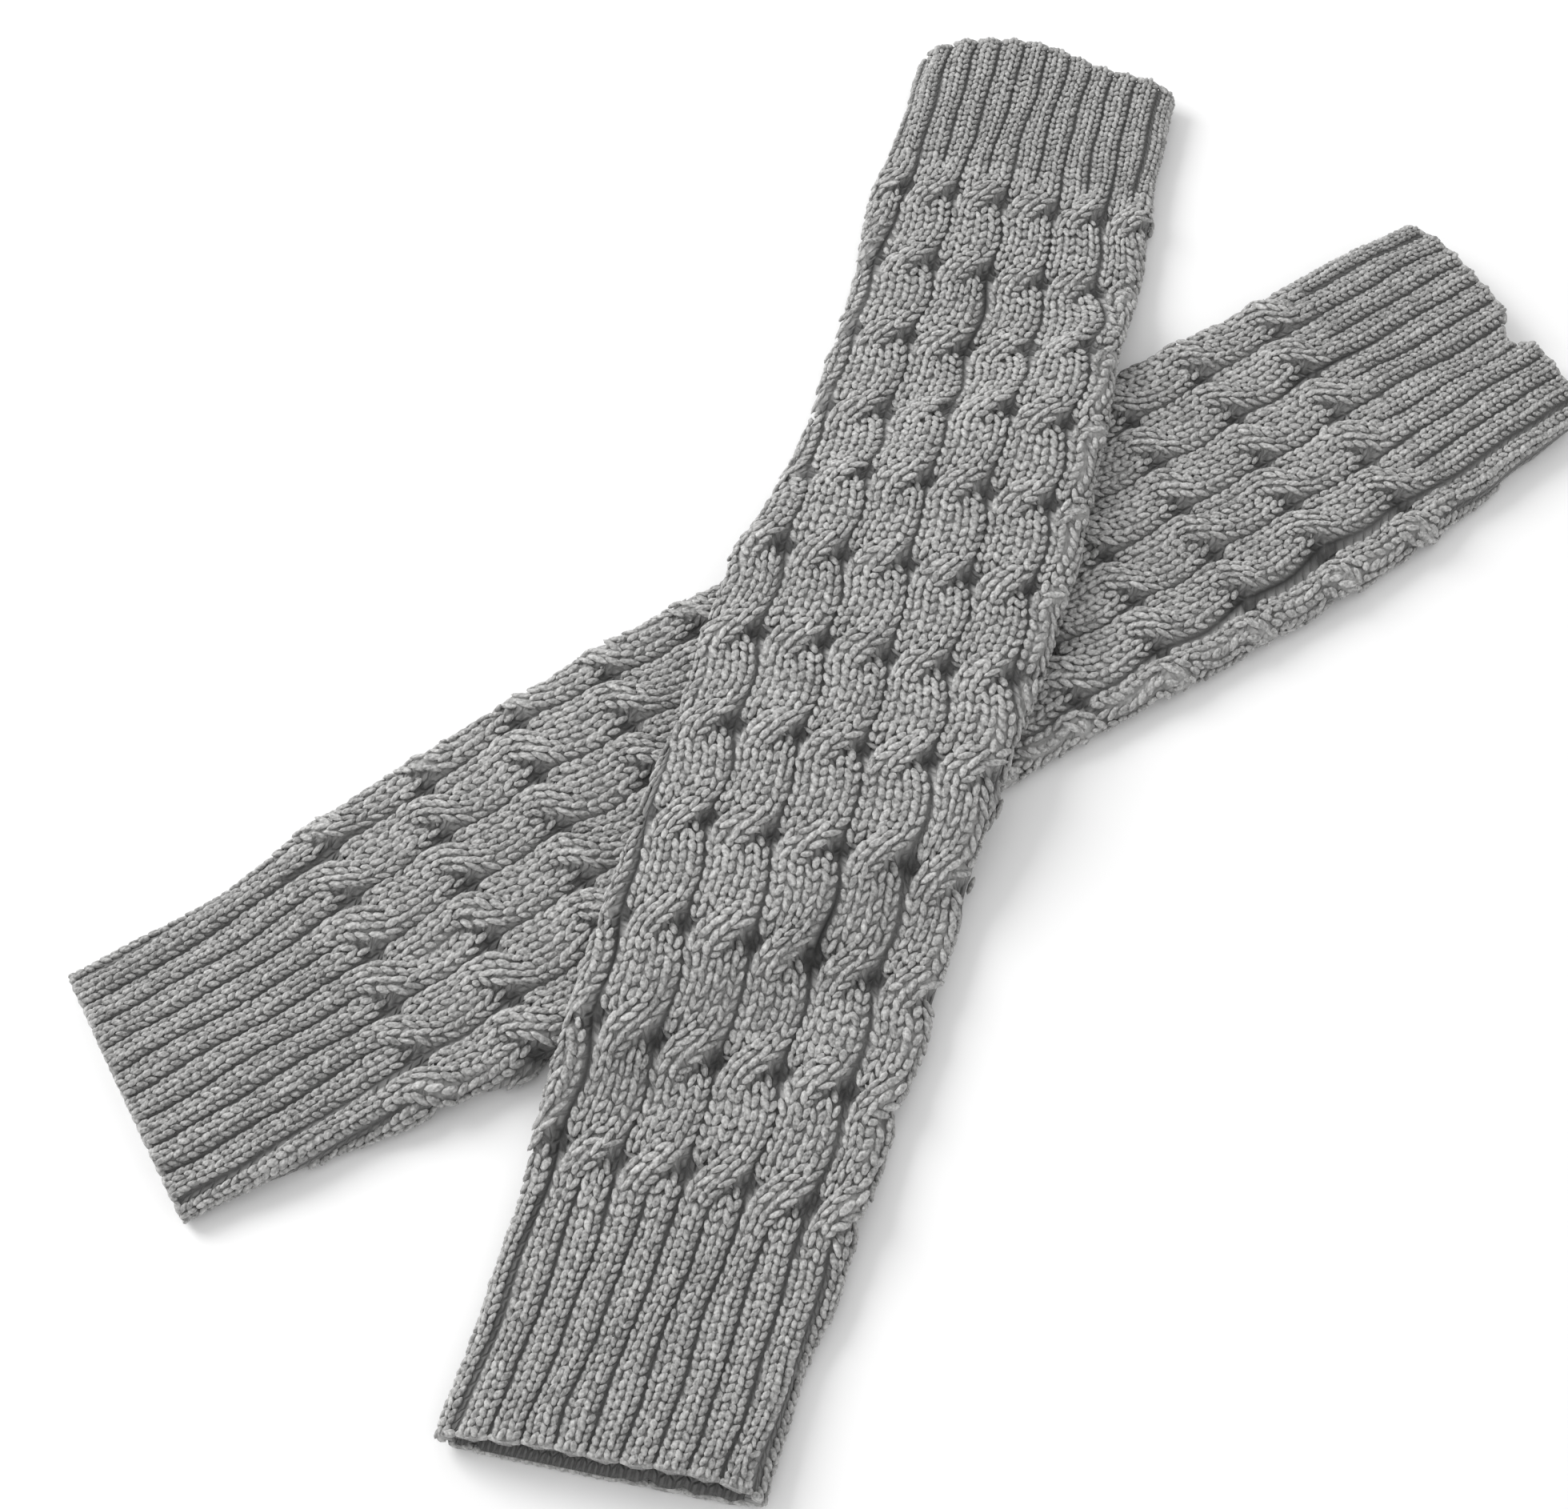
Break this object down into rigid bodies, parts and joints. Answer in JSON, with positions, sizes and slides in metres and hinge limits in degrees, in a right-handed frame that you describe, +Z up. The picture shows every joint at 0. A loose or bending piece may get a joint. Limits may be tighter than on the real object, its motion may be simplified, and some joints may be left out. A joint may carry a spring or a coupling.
{
  "type": "pair of cabled leg warmers",
  "caption": "Pair of grey marled knitted leg warmers with ribbed cuffs and twisted cables, laid flat and crossed one over the other.",
  "frame": {"origin": "middle of the pair's footprint, on the surface that it lies on", "axes": "+Z up from the surface, +Y away from the picture's viewer, +X to the viewer's right"},
  "size_m": [0.3733, 0.4276, 0.0199],
  "materials": {
    "over_top_cuff": "matt knitted rib, grey marl",
    "over_leg": "matt cable knit, grey marl",
    "over_ankle_cuff": "matt knitted rib, grey marl",
    "under_top_cuff": "matt knitted rib, grey marl",
    "under_leg": "matt cable knit, grey marl",
    "under_ankle_cuff": "matt knitted rib, grey marl"
  },
  "bodies": {
    "root": {"over_top_cuff": "over_top_cuff", "over_leg": "over_leg", "over_ankle_cuff": "over_ankle_cuff", "under_top_cuff": "under_top_cuff", "under_leg": "under_leg", "under_ankle_cuff": "under_ankle_cuff"}
  },
  "joints": []
}
